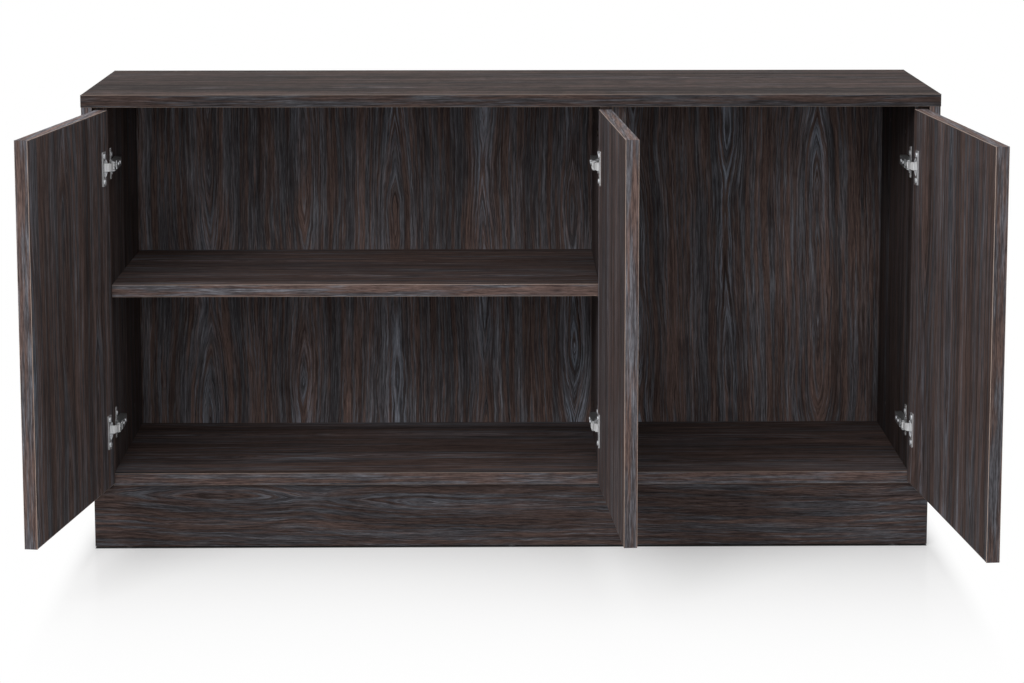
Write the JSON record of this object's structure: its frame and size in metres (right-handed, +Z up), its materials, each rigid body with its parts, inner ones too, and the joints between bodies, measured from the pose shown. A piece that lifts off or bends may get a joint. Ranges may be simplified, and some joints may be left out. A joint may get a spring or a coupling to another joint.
{
  "type": "office credenza",
  "caption": "low office credenza in dark oak board: a wide shelved bay behind a pair of doors beside a single-door bay, on a recessed plinth, doors on concealed hinges",
  "frame": {"origin": "on the floor under the middle of the plinth's front rail, at mid-thickness of the rail", "axes": "X along the width, to the right seen from the front; -Y the front that the doors open to; Z up"},
  "size_m": [1.5651, 0.9864, 0.82],
  "materials": {
    "board_lengthwise": "dark oak melamine on board, grain along the width, satin",
    "board_upright": "dark oak melamine on board, grain upright, satin",
    "edge_band": "dark oak printed edge band, satin",
    "nickel_plate": "nickel plated, satin",
    "hinge_steel": "dull plated steel",
    "zinc_screw": "zinc plated",
    "beech": "bare beech",
    "glide_plastic": "black nylon"
  },
  "bodies": {
    "carcass": {"top_panel": "board_lengthwise", "top_edging": "edge_band", "cheek_left": "board_upright", "cheek_right": "board_upright", "cheek_edging": "edge_band", "side_left": "board_upright", "side_right": "board_upright", "divider_left": "board_upright", "divider_right": "board_upright", "bottom_left": "board_lengthwise", "bottom_right": "board_lengthwise", "back_left": "board_upright", "back_right": "board_upright", "carcass_edging": "edge_band", "shelf": "board_lengthwise", "shelf_edging": "edge_band", "shelf_pins": "nickel_plate", "plinth_front": "board_lengthwise", "plinth_back": "board_lengthwise", "plinth_end_left": "board_lengthwise", "plinth_end_right": "board_lengthwise", "plinth_cross_rails": "board_lengthwise", "plinth_blocks": "beech", "plinth_glides": "glide_plastic", "plinth_screws": "zinc_screw", "cam_locks": "zinc_screw", "cam_bolts": "zinc_screw", "wood_dowels": "beech", "joining_bolts": "nickel_plate", "joining_sleeves": "nickel_plate", "cheek_screws": "zinc_screw", "hinge_plates": "nickel_plate", "hinge_arms": "hinge_steel", "plate_screws": "zinc_screw", "arm_screws": "zinc_screw", "arm_rivets": "zinc_screw"},
    "door_left": {"door_left": "board_upright", "door_left_edging": "edge_band", "hinge_cups_left": "nickel_plate", "cup_screws_left": "zinc_screw", "cup_pins_left": "zinc_screw"},
    "links_left": {"hinge_links_left": "nickel_plate"},
    "door_middle": {"door_middle": "board_upright", "door_middle_edging": "edge_band", "hinge_cups_middle": "nickel_plate", "cup_screws_middle": "zinc_screw", "cup_pins_middle": "zinc_screw"},
    "links_middle": {"hinge_links_middle": "nickel_plate"},
    "door_right": {"door_right": "board_upright", "door_right_edging": "edge_band", "hinge_cups_right": "nickel_plate", "cup_screws_right": "zinc_screw", "cup_pins_right": "zinc_screw"},
    "links_right": {"hinge_links_right": "nickel_plate"}
  },
  "joints": [
    {"name": "door_left_swing", "type": "hinge", "parent": "carcass", "child": "door_left", "pos_m": [-0.7225, -0.0419, 0.46], "axis": [0, 0, -1], "range_deg": [-98.5, 11.5]},
    {"name": "door_middle_swing", "type": "hinge", "parent": "carcass", "child": "door_middle", "pos_m": [0.17, -0.0419, 0.46], "axis": [0, 0, 1], "range_deg": [-93.3, 16.7]},
    {"name": "door_right_swing", "type": "hinge", "parent": "carcass", "child": "door_right", "pos_m": [0.7225, -0.0419, 0.46], "axis": [0, 0, 1], "range_deg": [-94.8, 15.2]},
    {"name": "links_left_fold", "type": "hinge", "parent": "door_left", "child": "links_left", "pos_m": [-0.70934, -0.04791, 0.46], "axis": [0, 0, -1], "range_deg": [-19.27, 161.3]},
    {"name": "links_middle_fold", "type": "hinge", "parent": "door_middle", "child": "links_middle", "pos_m": [0.15635, -0.04669, 0.46], "axis": [0, 0, 1], "range_deg": [-27.76, 152.81]},
    {"name": "links_right_fold", "type": "hinge", "parent": "door_right", "child": "links_right", "pos_m": [0.70898, -0.04705, 0.46], "axis": [0, 0, 1], "range_deg": [-25.31, 155.26]}
  ],
  "couplings": [
    {"joint": "links_left_fold", "follows": "door_left_swing", "ratio": -1.6325},
    {"joint": "links_middle_fold", "follows": "door_middle_swing", "ratio": -1.6325},
    {"joint": "links_right_fold", "follows": "door_right_swing", "ratio": -1.6325}
  ]
}
